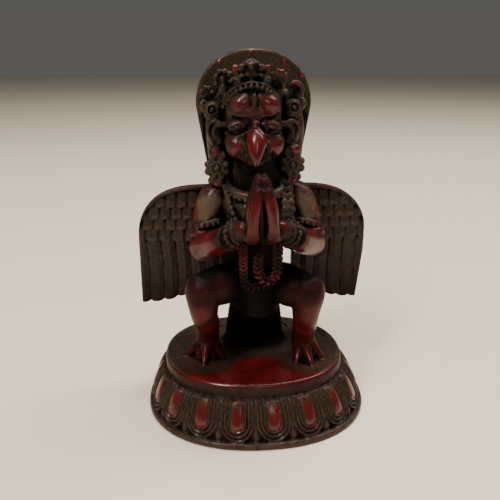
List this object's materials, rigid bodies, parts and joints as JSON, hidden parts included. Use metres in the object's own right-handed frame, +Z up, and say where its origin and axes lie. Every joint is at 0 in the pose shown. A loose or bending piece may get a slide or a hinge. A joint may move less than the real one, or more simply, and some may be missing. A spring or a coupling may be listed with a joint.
{
  "type": "figurine",
  "caption": "Small dark red resin garuda: a bird-headed figure crouching with palms joined, wings spread, arched halo behind a jewelled crown, on an oval lotus plinth.",
  "frame": {"origin": "centre of the flat underside of the plinth", "axes": "+Z up, the figure faces -Y, +X is the viewer's right and the figure's left"},
  "size_m": [0.0836, 0.0704, 0.1232],
  "materials": {
    "resin": "dark maroon cast resin, polished on the high places, with a brown-black patina and grey wax dust in the recesses"
  },
  "bodies": {
    "root": {"garuda_figure": "resin"}
  },
  "joints": []
}
